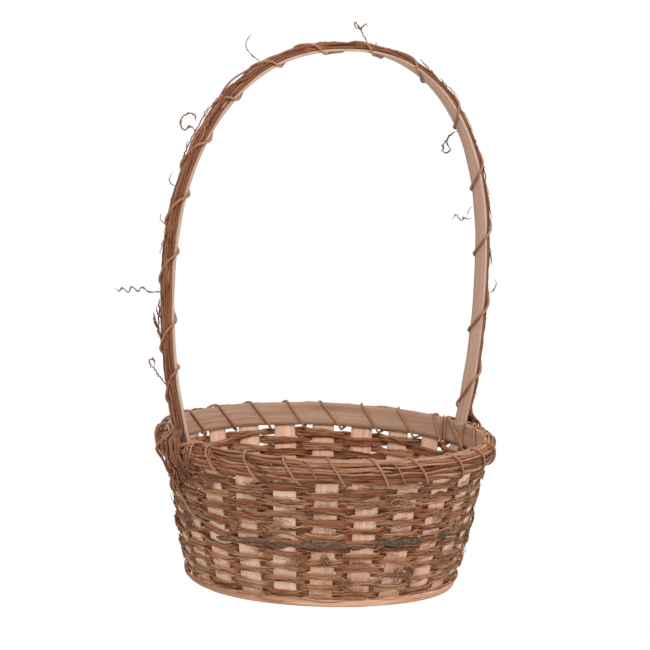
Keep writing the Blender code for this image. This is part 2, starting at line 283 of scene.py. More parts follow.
def linear(red, green, blue):
    """A colour given as it looks on screen, 0 to 255, as the linear light that shaders use."""
    return tuple(((c / 255 + 0.055) / 1.055) ** 2.4 for c in (red, green, blue)) + (1.0,)


class Nodes:
    """A short way to write a material's node tree."""

    def __init__(self, name):
        self.material = bpy.data.materials.new(name)
        self.material.use_nodes = True
        self.tree = self.material.node_tree
        self.shader = self.tree.nodes["Principled BSDF"]

    def add(self, kind, **settings):
        node = self.tree.nodes.new(kind)
        for key, value in settings.items():
            if key in node.inputs:
                node.inputs[key].default_value = value
            else:
                setattr(node, key, value)
        return node

    def link(self, source, target):
        self.tree.links.new(source, target)

    def stretched(self, scale_along, scale_across):
        """The grain UVs, scaled, so that a pattern is long in one direction."""
        mapping = self.add("ShaderNodeMapping")
        mapping.inputs["Scale"].default_value = (scale_along, scale_across, 1.0)
        self.link(self.add("ShaderNodeUVMap", uv_map="grain").outputs["UV"], mapping.inputs["Vector"])
        return mapping.outputs["Vector"]

    def noise(self, vector, scale, detail=4.0, roughness=0.6, w=None):
        node = self.add("ShaderNodeTexNoise", noise_dimensions="3D" if w is None else "4D")
        node.inputs["Scale"].default_value = scale
        node.inputs["Detail"].default_value = detail
        node.inputs["Roughness"].default_value = roughness
        self.link(vector, node.inputs["Vector"])
        if w is not None:
            self.link(w, node.inputs["W"])
        return node.outputs["Fac"]

    def ramp(self, value, *stops):
        node = self.add("ShaderNodeValToRGB")
        elements = node.color_ramp.elements
        while len(elements) < len(stops):
            elements.new(0.5)
        for element, (place, colour) in zip(elements, stops):
            element.position = place
            element.color = colour
        self.link(value, node.inputs["Fac"])
        return node.outputs["Color"]

    def math(self, operation, first, second=None, clamp=False):
        node = self.add("ShaderNodeMath", operation=operation, use_clamp=clamp)
        for socket, value in zip(node.inputs, (first, second)):
            if value is None:
                continue
            if isinstance(value, (int, float)):
                socket.default_value = value
            else:
                self.link(value, socket)
        return node.outputs["Value"]

    def mix(self, share, first, second, blend="MIX"):
        node = self.add("ShaderNodeMix", data_type="RGBA", blend_type=blend)
        sockets = [s for s in node.inputs if s.enabled]
        for socket, value in zip(sockets, (share, first, second)):
            if isinstance(value, (int, float, tuple)):
                socket.default_value = value
            else:
                self.link(value, socket)
        return [s for s in node.outputs if s.enabled][0]

    def attribute(self, name):
        return self.add("ShaderNodeAttribute", attribute_name=name).outputs["Fac"]

    def bump(self, height, distance, strength=1.0, normal=None):
        node = self.add("ShaderNodeBump", Distance=distance, Strength=strength)
        self.link(height, node.inputs["Height"])
        if normal is not None:
            self.link(normal, node.inputs["Normal"])
        return node.outputs["Normal"]


def vine_material(name, *stops, roughness=0.7, flecks=1.0):
    """Thin dried vine. Tone picks each strand's hue, fibres run along it, and bark turns it grey."""
    n = Nodes(name)
    tone = n.attribute("tone")
    bark = n.attribute("bark")
    fibres = n.noise(n.stretched(70, 11), 1.0, 5.0, 0.7, w=n.math("MULTIPLY", tone, 43.0))
    patches = n.noise(n.stretched(30, 1.5), 1.0, 3.0, 0.6, w=n.math("MULTIPLY", tone, 17.0))
    drift = n.math("MULTIPLY", n.math("SUBTRACT", patches, 0.5), 0.45)
    hue = n.ramp(n.math("ADD", tone, drift, clamp=True), *stops)
    shade = n.ramp(fibres, (0.30, (0.34, 0.30, 0.27, 1)), (0.50, (0.78, 0.76, 0.74, 1)), (0.68, (1, 1, 1, 1)))
    brown = n.mix(0.85, hue, shade, "MULTIPLY")
    crust = n.noise(n.stretched(240, 9), 1.0, 5.0, 0.8)
    grey = n.ramp(
        n.math("ADD", crust, n.math("MULTIPLY", n.math("SUBTRACT", tone, 0.5), 0.3)),
        (0.30, linear(50, 37, 29)), (0.45, linear(88, 67, 52)),
        (0.57, linear(126, 99, 79)), (0.70, linear(178, 147, 120)),
    )
    n.link(n.mix(bark, brown, grey), n.shader.inputs["Base Color"])
    n.link(n.math("ADD", n.math("MULTIPLY", fibres, 0.25), roughness - 0.12), n.shader.inputs["Roughness"])
    coarse = n.bump(crust, 0.5 * MM, 0.5 * flecks)
    n.link(n.bump(fibres, 0.4 * MM, 0.9, coarse), n.shader.inputs["Normal"])
    n.shader.inputs["Specular IOR Level"].default_value = 0.3
    return n.material


def chip_material(name, dark, middle, light, pored=1.0, fine=1.0):
    """Sawn wood: fine grain along the strip, soft bands across it, and dark pores."""
    n = Nodes(name)
    tone = n.attribute("tone")
    shift = n.math("MULTIPLY", tone, 31.0)
    grain = n.noise(n.stretched(14, 900), 1.0, 4.0, 0.6, w=shift)
    bands = n.noise(n.stretched(9, 190), 1.0, 3.0, 0.5, w=shift)
    value = n.math("ADD", n.math("MULTIPLY", grain, 0.5), n.math("MULTIPLY", bands, 0.6))
    value = n.math("ADD", value, n.math("MULTIPLY", n.math("SUBTRACT", tone, 0.5), 0.35))
    value = n.math("SUBTRACT", value, 0.05, clamp=True)
    colour = n.ramp(value, (0.25, dark), (0.50, middle), (0.78, light))
    specks = n.noise(n.stretched(60, 2600), 1.0, 2.0, 0.5, w=shift)
    pores = n.ramp(specks, (0.30, (0, 0, 0, 1)), (0.42, (1, 1, 1, 1)))
    colour = n.mix(0.28 * pored, colour, n.mix(1.0, colour, pores, "MULTIPLY"))
    n.link(colour, n.shader.inputs["Base Color"])
    n.link(n.math("ADD", n.math("MULTIPLY", grain, 0.2), 0.62), n.shader.inputs["Roughness"])
    coarse = n.bump(bands, 0.25 * MM, 0.6 * fine)
    n.link(n.bump(grain, 0.12 * MM, 0.8 * fine, coarse), n.shader.inputs["Normal"])
    n.shader.inputs["Specular IOR Level"].default_value = 0.3
    return n.material


# The stakes are the same sawn wood as the bow, but their colours are painted paler. This is painted light
# that makes up for the shade the woven rows cast on the stakes between them, while the bow keeps the wood's
# unlifted colour.
STAKE_CHIP_WITH_PAINTED_LIGHT = chip_material("stake_chip_with_painted_light", linear(206, 162, 134), linear(242, 202, 174), linear(252, 226, 204))
BOW_CHIP = chip_material(
    "bow_chip", linear(158, 124, 104), linear(190, 156, 134), linear(210, 180, 160), pored=0.3, fine=0.15
)
RIM_CHIP = chip_material("rim_chip", linear(138, 104, 84), linear(176, 141, 118), linear(206, 174, 150))
CANE = chip_material("split_cane", linear(176, 126, 96), linear(218, 170, 136), linear(236, 198, 166))
BROWNS = (
    (0.00, linear(112, 66, 41)), (0.20, linear(178, 106, 72)), (0.42, linear(167, 115, 79)),
    (0.60, linear(192, 146, 104)), (0.78, linear(206, 138, 100)), (1.00, linear(226, 184, 146)),
)
REDS = (
    (0.00, linear(94, 56, 37)), (0.25, linear(150, 91, 60)), (0.50, linear(162, 107, 75)),
    (0.72, linear(184, 126, 92)), (1.00, linear(204, 160, 124)),
)
DARKS = (
    (0.00, linear(98, 60, 42)), (0.30, linear(150, 95, 67)),
    (0.60, linear(172, 116, 85)), (1.00, linear(204, 152, 118)),
)
TANS = ((0.0, linear(142, 94, 68)), (0.5, linear(188, 136, 104)), (1.0, linear(214, 166, 132)))
VINE = vine_material("brown_vine", *BROWNS)
RIM_VINE = vine_material("rim_vine", *REDS)
HANDLE_VINE = vine_material("handle_vine", *DARKS)
LASH_VINE = vine_material("lashing_vine", *TANS, roughness=0.6, flecks=0.4)

# ---------------------------------------------------------------- base and stakes

BASE_LEVEL = 2.2 * MM
BASE_LIFT = (STRIP_THICK + GAP) / 2
STRIP_CLEARANCE = 0.8 * MM
FOLD_RISE = 1.0 * MM
FULL_WIDTH_LEVEL = 9.5 * MM
LONG_WAY = range(-3, 4)
SHORT_WAY = range(-2, 3)
ACROSS = 7


def base_point(along_x, run, across, height):
    return np.array([run, across, height] if along_x else [across, run, height])


def strip_end(along_x, offset, edge, end, start_level):
    """The line of one point across a strip, from its fold at the foot to the top of its stake."""
    run = math.sqrt(FOOT_RADIUS**2 - (offset + edge) ** 2)
    fold = base_point(along_x, end * run, offset + edge, start_level)
    middle = base_point(along_x, end * math.sqrt(FOOT_RADIUS**2 - offset**2), offset, 0.0)
    fold_angle = math.atan2(fold[1], fold[0])
    angle = math.atan2(middle[1], middle[0])
    tangent = np.array([-math.sin(angle), math.cos(angle), 0.0])
    along = math.copysign(edge, edge * tangent.dot(base_point(along_x, 0.0, 1.0, 0.0)))
    top = CUT_STAKE_HIGH.z if along_x and offset == 0 else STAKE_HIGH.z
    first = start_level + FOLD_RISE
    levels = np.concatenate([np.linspace(first, FULL_WIDTH_LEVEL, 4), np.arange(12 * MM, top, 3 * MM), [top]])
    share = smooth((levels - start_level) / (FULL_WIDTH_LEVEL - start_level))[:, None]
    points = wall(fold_angle, levels) * (1 - share) + wall(angle, levels, along=along) * share
    return np.concatenate([[fold], points])


def add_strip(name, along_x, index, offset, crossings, rng):
    reach = STRIP_WIDTH / 2 + STRIP_CLEARANCE
    stations = []
    for other, place in crossings:
        over = (index + other) % 2 == 0
        lift = BASE_LIFT if over == along_x else -BASE_LIFT
        stations += [(place - reach, lift), (place, lift), (place + reach, lift)]
    narrow = Wobble(rng, 0.35 * MM, 90 * MM)
    lines = []
    for share in np.linspace(-1, 1, ACROSS):
        edge = share * STRIP_WIDTH / 2
        start = strip_end(along_x, offset, edge, -1, BASE_LEVEL + stations[0][1])
        middle = [base_point(along_x, run, offset + edge, BASE_LEVEL + lift) for run, lift in stations]
        finish = strip_end(along_x, offset, edge, 1, BASE_LEVEL + stations[-1][1])
        lines.append(np.concatenate([start[::-1], middle, finish]))
    rows = np.stack(lines, axis=1)
    centre = rows[:, ACROSS // 2][:, None]
    length = np.arange(len(rows)) * 3 * MM
    scale = 1 + narrow(length)[:, None, None] / STRIP_WIDTH
    rows = centre + (rows - centre) * scale
    run = np.gradient(rows, axis=0)
    width = np.gradient(rows, axis=1)
    normals = np.cross(run, width)
    normals /= np.linalg.norm(normals, axis=2, keepdims=True)
    builder = Builder()
    builder.slab(rows, normals, STRIP_THICK, tone=rng.uniform(0.25, 0.75))
    # The stakes take the paler chip, with painted light against the shade of the rows.
    builder.finish(name, STAKE_CHIP_WITH_PAINTED_LIGHT, "wood_chip", name.replace("woven_", "stake_"))


def add_strips():
    rng = np.random.default_rng(11)
    long_way = [(i, FOOT_RADIUS * math.sin(i * STEP)) for i in LONG_WAY]
    short_way = [(i, FOOT_RADIUS * math.sin(i * STEP)) for i in SHORT_WAY]
    for index, offset in long_way:
        add_strip(f"woven_strip_x{index - LONG_WAY[0] + 1}", True, index, offset, short_way, rng)
    for index, offset in short_way:
        add_strip(f"woven_strip_y{index - SHORT_WAY[0] + 1}", False, index, offset, long_way, rng)


# ---------------------------------------------------------------- weavers

WEAVE_OUT = 2.2 * MM
WEAVE_STEEPNESS = 2.6
TAIL_ROOM = 2.7 * MM
TAIL_FOOT = STRIP_LOW.z
STRAND_SPACING = 2.4 * MM
ROW_LANES = (  # out, up, radius, in mm
    (0.0, -2.1, 0.75), (0.0, -1.5, 0.7), (0.0, -0.9, 0.75), (0.1, -0.3, 0.7), (0.1, 0.3, 0.75),
    (0.0, 0.9, 0.7), (0.0, 1.5, 0.75), (0.0, 2.1, 0.7), (0.8, -1.8, 0.5), (0.9, -1.2, 0.55),
    (1.0, -0.6, 0.5), (1.0, 0.0, 0.55), (1.0, 0.6, 0.5), (0.9, 1.2, 0.55), (0.8, 1.8, 0.5),
    (-0.7, -1.2, 0.7), (-0.7, 0.0, 0.7), (-0.7, 1.2, 0.7),
)


def crossing(angle, row):
    """1 where a row passes outside a stake, -1 where it passes inside one, and 0 halfway between."""
    return -np.cos(math.pi * angle / STEP) * (-1) ** row


def weave(angle, row, height):
    """How far a row stands out from the stakes' middle line."""
    out = WEAVE_OUT * np.tanh(WEAVE_STEEPNESS * crossing(angle, row)) / math.tanh(WEAVE_STEEPNESS)
    if height > TAIL_FOOT - 4 * MM:
        off = off_handle(angle)
        out = out - TAIL_ROOM * np.exp(-((off / math.radians(7)) ** 4)) * (out < 0)
    return out


FULL_SPREAD = 1.5  # how far a row's strands open between the stakes
LOW_PINCH = 0.74  # and how much of that they lose over a stake, low on the wall
HIGH_PINCH = 0.42
UPPER_ROW = 11
ROW_FIBRES = 40


def ring_wobble(rng, size, waves):
    """A smooth random curve round the basket that closes on itself."""
    waves = np.array(waves)
    phases = rng.uniform(0, TAU, len(waves))
    share = size / math.sqrt(len(waves))
    return lambda angle: share * np.sin(np.multiply.outer(angle, waves) + phases).sum(axis=-1)


def add_strand(builder, rng, row, height, lane_place, start, sweep, sway, fullness, row_tone):
    """One vine of a row, from where its end is tucked in to where the other end is."""
    out_by, up_by, thick = lane_place
    radius = wall_radius(height)
    angle = start + np.linspace(0, sweep, int(sweep * radius / STRAND_SPACING))
    length = angle * radius
    facing = crossing(angle, row)
    pinch = LOW_PINCH if row < UPPER_ROW else HIGH_PINCH
    spread = FULL_SPREAD * (1 + fullness(angle)) - pinch * smooth((np.abs(facing) - 0.2) / 0.4)
    spread = spread + Wobble(rng, 0.1, 90 * MM)(length)
    rise = height + sway(angle) + up_by * MM * spread + Wobble(rng, 0.4 * MM, 120 * MM)(length)
    side = np.where(facing > 0, 1.0, -1.0)
    out = weave(angle, row, height) + side * out_by * MM + Wobble(rng, 0.35 * MM, 60 * MM)(length)
    tuck = tapered(len(angle), 1.0, 5, 0.0)
    out = out * tuck
    split = rng.uniform() < 0.25
    size = tapered(len(angle), thick * MM * (rng.uniform(1.2, 1.6) if split else rng.uniform(0.7, 1.2)))
    size = size * (1 + Wobble(rng, 0.14, 30 * MM)(length))
    builder.tube(
        wall(angle, rise, out), knuckled(size, STRAND_SPACING, rng),
        tone=min(max(row_tone + rng.normal(0, 0.24), 0.0), 1.0),
        bark=float(rng.uniform() < 0.14) * rng.uniform(0.3, 0.9), sides=5, up=outward(angle),
        flat=0.4 if split else rng.uniform(0.6, 0.95), lump=0.12, rng=rng,
    )


def add_fibre(builder, rng, row, height):
    """A short loose end that springs away from its row."""
    angle = rng.uniform(0, TAU) + np.linspace(0, rng.uniform(0.1, 0.35) * rng.choice((-1, 1)), 16)
    share = np.linspace(0, 1, 16)
    out = np.maximum(weave(angle, row, height), 0.5 * MM) + 1.5 * MM + rng.uniform(0.0, 2.4) * MM * share**2
    rise = height + rng.uniform(-2.8, 2.8) * MM + rng.uniform(-5, 6) * MM * share**2
    rise = rise + Wobble(rng, 0.6 * MM, 14 * MM)(angle * wall_radius(height))
    size = tapered(16, rng.uniform(0.22, 0.42) * MM, 4, 0.3)
    builder.tube(wall(angle, rise, out), size, tone=rng.uniform(0.2, 1.1), sides=5, rng=rng)


def add_row(row, name, height):
    rng = np.random.default_rng(100 + row)
    builder = Builder()
    sway = ring_wobble(rng, 0.95 * MM, (5, 7, 10, 13))
    fullness = ring_wobble(rng, 0.2, (4, 9, 11, 14))
    row_tone = rng.uniform(0.2, 0.6)
    for place in ROW_LANES:
        start, covered = rng.uniform(0, TAU), 0.0
        while covered < TAU:
            sweep = min(rng.uniform(1.6, 4.2), TAU - covered + 0.1)
            reach = sweep + rng.uniform(0.02, 0.2)
            add_strand(
                builder, rng, row, height, place, start + covered, reach, sway, fullness, row_tone
            )
            covered += sweep
    for _ in range(ROW_FIBRES):
        add_fibre(builder, rng, row, height)
    builder.finish(f"woven_row_{row + 1:02d}", VINE, "brown_vine" if row % 2 == 0 else "dark_vine", name)


# ---------------------------------------------------------------- bark, tangles and loose ends on the wall

MIDDLE_RADIUS = 125 * MM
BARK_RUNS = (  # first and last degree, heights at both, radius in mm, tone, and how grey
    (215, 262, 54, 59.5, 2.7, 0.40, 0.95), (246, 314, 57, 61, 3.1, 0.28, 1.0),
    (160, 202, 71, 68, 2.3, 0.6, 0.8), (193, 229, 51.5, 60.5, 2.4, 0.45, 0.9),
    (252, 277, 112.5, 108.5, 2.7, 0.9, 0.7), (170, 196, 98, 95, 2.0, 0.7, 0.6),
    (268, 300, 101, 97, 1.9, 0.3, 0.7), (232, 262, 98, 101.5, 1.6, 0.5, 0.6),
    (20, 66, 62, 58, 2.6, 0.4, 0.9), (95, 130, 84, 88, 2.2, 0.5, 0.8), (118, 160, 42, 47, 2.5, 0.35, 0.9),
    (330, 368, 50, 46, 2.4, 0.6, 0.85), (40, 78, 100, 104, 2.1, 0.7, 0.6),
    (300, 338, 82, 86, 2.3, 0.45, 0.9), (72, 104, 30, 27, 2.2, 0.3, 0.9),
    (205, 236, 84, 80, 1.7, 0.7, 0.75), (283, 316, 34, 38, 1.9, 0.4, 0.8),
    (350, 380, 100, 97, 1.8, 0.5, 0.7),
)
TANGLES = (  # degree, height, half width, half height, in mm
    (231, 41.8, 7, 6), (241, 43, 4, 5), (273, 28.5, 11, 6), (222, 68.5, 9, 4), (258, 94, 13, 3.5),
    (268, 93.5, 9, 4), (194, 101, 6, 5), (205, 70, 5, 5), (300, 66, 6, 5), (250, 22, 6, 4),
    (287, 80, 6, 5), (176, 60, 6, 7), (318, 46, 7, 5), (340, 88, 8, 4), (12, 70, 7, 5), (38, 38, 8, 5),
    (63, 92, 9, 4), (88, 55, 7, 6), (328, 100, 5, 4), (333, 74, 5, 4), (326, 60, 5, 5), (335, 34, 4, 4),
    (322, 24, 5, 4), (331, 48, 4, 4), (150, 100, 5, 4), (146, 78, 5, 4), (154, 48, 5, 5), (148, 18, 5, 4),
    (112, 100, 8, 4), (135, 66, 7, 6), (150, 30, 8, 5), (165, 88, 6, 5), (215, 104, 7, 4),
)


def add_bark_run(builder, rng, first, last, low, high, thick, tone, grey):
    angle = np.radians(np.linspace(first, last, int((last - first) * 1.1)))
    length = angle * MIDDLE_RADIUS
    height = np.linspace(low, high, len(angle)) * MM + Wobble(rng, 0.9 * MM, 60 * MM)(length)
    tuck = tapered(len(angle), 1.0, 5, 0.0)
    out = (2.3 * MM + 0.9 * MM * crossing(angle, 7) + Wobble(rng, 0.5 * MM, 50 * MM)(length)) * tuck
    size = tapered(len(angle), thick * MM, 6, 0.4) * (1 + Wobble(rng, 0.15, 50 * MM)(length))
    builder.tube(
        wall(angle, height, out), knuckled(size, 2 * MM, rng, 30 * MM, 0.3), tone=tone, bark=grey,
        up=outward(angle), flat=0.55, sides=12, lump=0.10, rng=rng,
    )


def add_tangle(builder, rng, middle, height, wide, tall):
    """A few curled tendrils lying on the weave."""
    for _ in range(3):
        t = np.linspace(0, 1, 60)
        drift = (t - 0.5) * rng.uniform(0.8, 2.0) * rng.choice((-1, 1))
        sway = [Wobble(rng, 0.75, 0.7, 4)(t) for _ in range(3)]
        angle = math.radians(middle) + (sway[0] + drift) * wide * MM / MIDDLE_RADIUS
        rise = (height + (sway[1] + rng.uniform(-0.3, 0.3)) * tall) * MM
        out = (4.0 + 0.9 * sway[2]) * MM
        builder.tube(
            wall(angle, rise, out), tapered(60, rng.uniform(0.3, 0.5) * MM, 5, 0.3),
            tone=rng.uniform(0.0, 0.8), sides=5, rng=rng,
        )


def add_bark_and_tangles():
    rng = np.random.default_rng(77)
    bark, tangle = Builder(), Builder()
    for run in BARK_RUNS:
        add_bark_run(bark, rng, *run)
    for knot in TANGLES:
        add_tangle(tangle, rng, *knot)
    bark.finish("bark_vines", VINE, "dark_vine")
    tangle.finish("tendril_knots", LASH_VINE, "brown_vine")


# ---------------------------------------------------------------- foot hoop


HOOP_CORE = 117.0 * MM
HOOP_FACE = 118.4 * MM
HOOP_SPLITS = (  # middle height and half width in mm, laps round the foot, and tone
    (1.9, 1.5, 4, 0.2), (3.4, 1.9, 3, 0.75), (4.9, 1.6, 5, 0.4), (5.9, 1.0, 7, 0.9),
)
FOOT_FIBRES = 11
FOOT_FIBRE_OUT = (119.8, 120.8)


def add_foot_hoop():
    """Flat splits of cane wound round the foot, each widening and narrowing, and lapped over the others."""
    rng = np.random.default_rng(5)
    builder = Builder()
    angle = np.linspace(0, TAU, 300, endpoint=False)
    inner = wall(angle, 0.9 * MM, HOOP_CORE - wall_radius(0.9 * MM))
    up = outward(np.append(angle, 0.0))
    builder.tube(np.concatenate([inner, inner[:1]]), 0.9 * MM, tone=0.4, sides=8, up=up, rng=rng)
    for level, half, laps, tone in HOOP_SPLITS:
        phase = rng.uniform(0, TAU)
        width = half * MM * (1 + 0.35 * np.sin(angle * laps + phase))
        middle = level * MM + 0.5 * MM * np.sin(angle * (laps + 1) + phase)
        middle = middle + Wobble(rng, 0.25 * MM, 1.1)(angle)
        sway = 0.55 * MM * np.sin(angle * laps + phase + 1.2)
        lines = []
        for share in np.linspace(-1, 1, 5):
            height = np.clip(middle + share * width, 0.4 * MM, HOOP_HIGH.z + 0.8 * MM)
            out = HOOP_FACE + height * 0.26 + sway + 0.35 * MM * (1 - share**2)
            lines.append(wall(angle, height, out - wall_radius(height)))
        normals = np.repeat(outward(angle)[:, None], 5, axis=1)
        builder.slab(np.stack(lines, axis=1), normals, 0.9 * MM, tone=tone, cyclic=True)
    builder.finish("foot_hoop_cane", CANE, "split_cane", "foot_hoop")
    fibres = Builder()
    for _ in range(FOOT_FIBRES):
        angle = rng.uniform(0, TAU) + np.linspace(0, rng.uniform(0.5, 1.7), 90)
        height = rng.uniform(5.5, 8.5) * MM + Wobble(rng, 1.3 * MM, 130 * MM)(angle * FOOT_RADIUS)
        out = rng.uniform(*FOOT_FIBRE_OUT) * MM + height * 0.2 - wall_radius(height)
        size = tapered(len(angle), rng.uniform(0.35, 0.7) * MM)
        fibres.tube(wall(angle, height, out), size, tone=rng.uniform(0.5, 1.0), sides=5, lump=0.1, rng=rng)
    fibres.finish("foot_fibres", VINE, "brown_vine")


# ---------------------------------------------------------------- rim


def off_handle(angle):
    return (angle + math.pi / 2) % math.pi - math.pi / 2


def handle_bump(angle):
    fall = (np.abs(off_handle(angle)) - math.radians(8)) / math.radians(12)
    return 1.2 * MM * (1 - smooth(fall))


def add_rim_band():
    rng = np.random.default_rng(7)
    builder = Builder()
    angle = np.linspace(0, TAU, 181)[:-1]
    edge = Wobble(rng, 0.35 * MM, 240 * MM)
    lines = []
    for share in np.linspace(0, 1, 7):
        height = BAND_LOW.z + share * (BAND_HIGH.z - BAND_LOW.z)
        sway = edge(angle * RIM_RADIUS) * (1 if share in (0.0, 1.0) else 0.5)
        lines.append(wall(angle, np.minimum(height + sway, BAND_HIGH.z + 0.4 * MM), -BAND_IN))
    rows = np.stack(lines, axis=1)
    normals = np.repeat(outward(angle)[:, None], 7, axis=1)
    builder.slab(rows, normals, BAND_THICK, tone=0.5, cyclic=True)
    builder.finish("rim_band_strip", RIM_CHIP, "rim_chip", "rim_band")


RIM_LANES = (  # out, up and radius in mm
    (2.6, 114.3, 1.5), (2.8, 117.2, 1.6), (2.8, 120.3, 1.6), (2.8, 123.4, 1.6), (2.8, 126.5, 1.6),
    (2.7, 129.6, 1.5), (2.2, 132.0, 1.2), (5.6, 115.6, 1.4), (5.8, 118.4, 1.5), (5.9, 121.4, 1.5),
    (5.8, 124.4, 1.5), (5.6, 127.4, 1.5), (5.0, 130.3, 1.3), (8.0, 117.6, 1.2), (8.4, 120.2, 1.3),
    (8.4, 122.9, 1.3), (8.1, 125.6, 1.3), (7.4, 128.2, 1.1),
)


RIM_MIDDLE_OUT = 5.6 * MM
RIM_MIDDLE_LEVEL = 123 * MM
RIM_HALF_WIDTH = 4.6 * MM
RIM_HALF_HEIGHT = 9.2 * MM
LOOPS_AT_FEET = 16
LOOPS_ELSEWHERE = 4


def add_rim_loop(builder, rng, middle):
    """A short vine that leaves the bundle, winds part of the way round it and tucks in again."""
    turns = rng.uniform(0.5, 1.4)
    t = np.linspace(0, 1, int(40 * turns) + 12)
    around = rng.uniform(0, TAU) + TAU * turns * t
    angle = middle + rng.uniform(0.10, 0.32) * (t - 0.5) * rng.choice((-1, 1))
    reach = tapered(len(t), 1.0, 6, 0.75)
    out = RIM_MIDDLE_OUT + RIM_HALF_WIDTH * np.cos(around) * reach
    level = RIM_MIDDLE_LEVEL + RIM_HALF_HEIGHT * np.sin(around) * reach
    out = np.maximum(out, 1.9 * MM) + handle_bump(angle)
    size = tapered(len(t), rng.uniform(0.6, 1.15) * MM, 5, 0.4)
    size = knuckled(size, 2 * MM, rng, 30 * MM)
    builder.tube(wall(angle, level, out), size, tone=rng.uniform(0, 0.6), lump=0.1, rng=rng)


def add_rim_vines():
    rng = np.random.default_rng(21)
    groups = [Builder() for _ in range(5)]
    for number, (out, level, thick) in enumerate(RIM_LANES):
        start = rng.uniform(0, TAU)
        covered = 0.0
        while covered < TAU:
            sweep = min(rng.uniform(1.5, 4.0), TAU - covered + 0.1)
            angle = start + covered + np.linspace(0, sweep + 0.2, int(sweep * RIM_RADIUS / (2.8 * MM)))
            length = angle * RIM_RADIUS
            rise = Wobble(rng, 0.8 * MM, 140 * MM)(length)
            stray = Wobble(rng, 0.5 * MM, 90 * MM)(length)
            size = tapered(len(angle), thick * MM * rng.uniform(0.8, 1.15))
            size = size * (1 + Wobble(rng, 0.12, 34 * MM)(length))
            place = np.maximum(out * MM + stray, 1.1 * MM + size) + handle_bump(angle)
            points = wall(angle, level * MM + rise, place)
            groups[number % 5].tube(
                points, knuckled(size, 2.8 * MM, rng), tone=rng.uniform(0, 1),
                bark=float(rng.uniform() < 0.10) * 0.6, up=outward(angle), flat=rng.uniform(0.7, 1.0),
                lump=0.08, rng=rng,
            )
            covered += sweep
    for number in range(LOOPS_AT_FEET):
        add_rim_loop(groups[number % 5], rng, math.pi * (number % 2) + rng.normal(0, 0.2))
    for _ in range(LOOPS_ELSEWHERE):
        add_rim_loop(groups[0], rng, rng.uniform(0, TAU))
    for number, builder in enumerate(groups, 1):
        builder.finish(f"rim_bundle_{number}", RIM_VINE, "dark_vine", f"rim_vine_{number}")


RIM_LASH_SECTION = (  # out and up in mm, and the share of a turn
    (5.0, 133.0, 0.00), (8.5, 130.0, 0.06), (10.3, 125.0, 0.15), (10.5, 119.5, 0.24), (8.8, 114.6, 0.32),
    (5.0, 111.6, 0.38), (-2.6, 110.6, 0.43), (-3.9, 113.6, 0.48), (-3.7, 123.5, 0.70), (-3.7, 132.6, 0.90),
    (-2.0, 134.4, 0.935), (1.4, 134.3, 0.97),
)
RIM_LASH_START = math.radians(1.2)
RIM_LASH_DODGE = math.radians(-6)


def rim_turns(start, step, turns, rng, drift, dodge=0.0):
    """Points of a vine wound round the rim, from this angle on."""
    points = []
    shift = rng.uniform(-1, 1, turns + 1) * math.radians(drift)
    for turn in range(turns):
        for out, level, share in RIM_LASH_SECTION:
            angle = start + (turn + share) * step + shift[turn] * (1 - share) + shift[turn + 1] * share
            angle += dodge * math.exp(-0.5 * (off_handle(angle - RIM_LASH_START) / math.radians(3)) ** 2)
            away = out * MM + (handle_bump(angle) if out > 2 else 0.0)
            points.append(wall(angle, level * MM, away))
    return points


FOOT_LASHINGS = ((8.6, 7.4), (7.0, 5.6), (5.6, -5.4), (4.9, -6.6))  # degrees from the foot, top and bottom


def foot_lashing_turn(top, bottom):
    """One turn round the rim beside the handle's foot, as degrees, height and out in mm."""
    return [
        (top, 134.4, -2.6), (top * 0.8 + bottom * 0.2, 130.0, -4.0), (bottom, 115.5, -4.0),
        (bottom + 0.4, 111.0, -2.6), (bottom + 0.6, 111.4, 5.0), (bottom + 0.6, 116.0, 10.4),
        (top + 0.5, 126.0, 10.6), (top - 0.3, 132.6, 6.0),
    ]


def add_rim_lashing():
    rng = np.random.default_rng(31)
    builder = Builder()
    whole = rim_turns(RIM_LASH_START, STEP, STAKES, rng, 1.6, RIM_LASH_DODGE)
    lines = [whole + whole[:2]]
    for turned in (0, 180):
        foot = [point for turn in FOOT_LASHINGS for point in foot_lashing_turn(*turn)]
        lines.append([wall(math.radians(turned + a), z * MM, out * MM) for a, z, out in foot])
    for line in lines:
        line = through(line, 2.0 * MM)
        size = knuckled(uneven(line, 1.1 * MM, 3, 0.08, 40 * MM, rng), 2 * MM, rng, 120 * MM, 0.25)
        builder.tube(line, size, tone=0.45, sides=8, lump=0.04, rng=rng)
    builder.finish("rim_lashing_vine", LASH_VINE, "tan_vine", "rim_lashing")


# ---------------------------------------------------------------- handle


def lean(points):
    rise = (points[:, 2] - RIM_HEIGHT) / (ARCH_TOP - RIM_HEIGHT)
    shift = ARCH_LEAN * np.sin(TAU * rise / ARCH_LEAN_WAVE)
    return points - np.stack([shift, 0 * shift, 0 * shift], axis=1)


def arch_line(spacing):
    """The handle strip's middle line above the rim, from -X over the top to +X, evenly spaced."""
    level = np.linspace(RIM_HEIGHT, ARCH_WIDEST, 60, endpoint=False)
    leg = np.stack([ARCH_HALF_WIDTH - LEG_CURVE * (ARCH_WIDEST - level) ** 2, 0 * level, level], axis=1)
    turn = np.linspace(0, math.pi / 2, 300)
    power = 2 / ARCH_SQUARENESS
    across = ARCH_HALF_WIDTH * np.maximum(np.cos(turn), 0) ** power
    rise = ARCH_WIDEST + (ARCH_TOP - ARCH_WIDEST) * np.sin(turn) ** power
    half = np.concatenate([leg, np.stack([across, 0 * across, rise], axis=1)])
    whole = lean(np.concatenate([half * [-1, 1, 1], half[-2::-1]]))
    length = np.concatenate([[0], np.cumsum(np.linalg.norm(np.diff(whole, axis=0), axis=1))])
    even = np.linspace(0, length[-1], int(length[-1] / spacing))
    return even, np.stack([np.interp(even, length, whole[:, k]) for k in range(3)], axis=1)


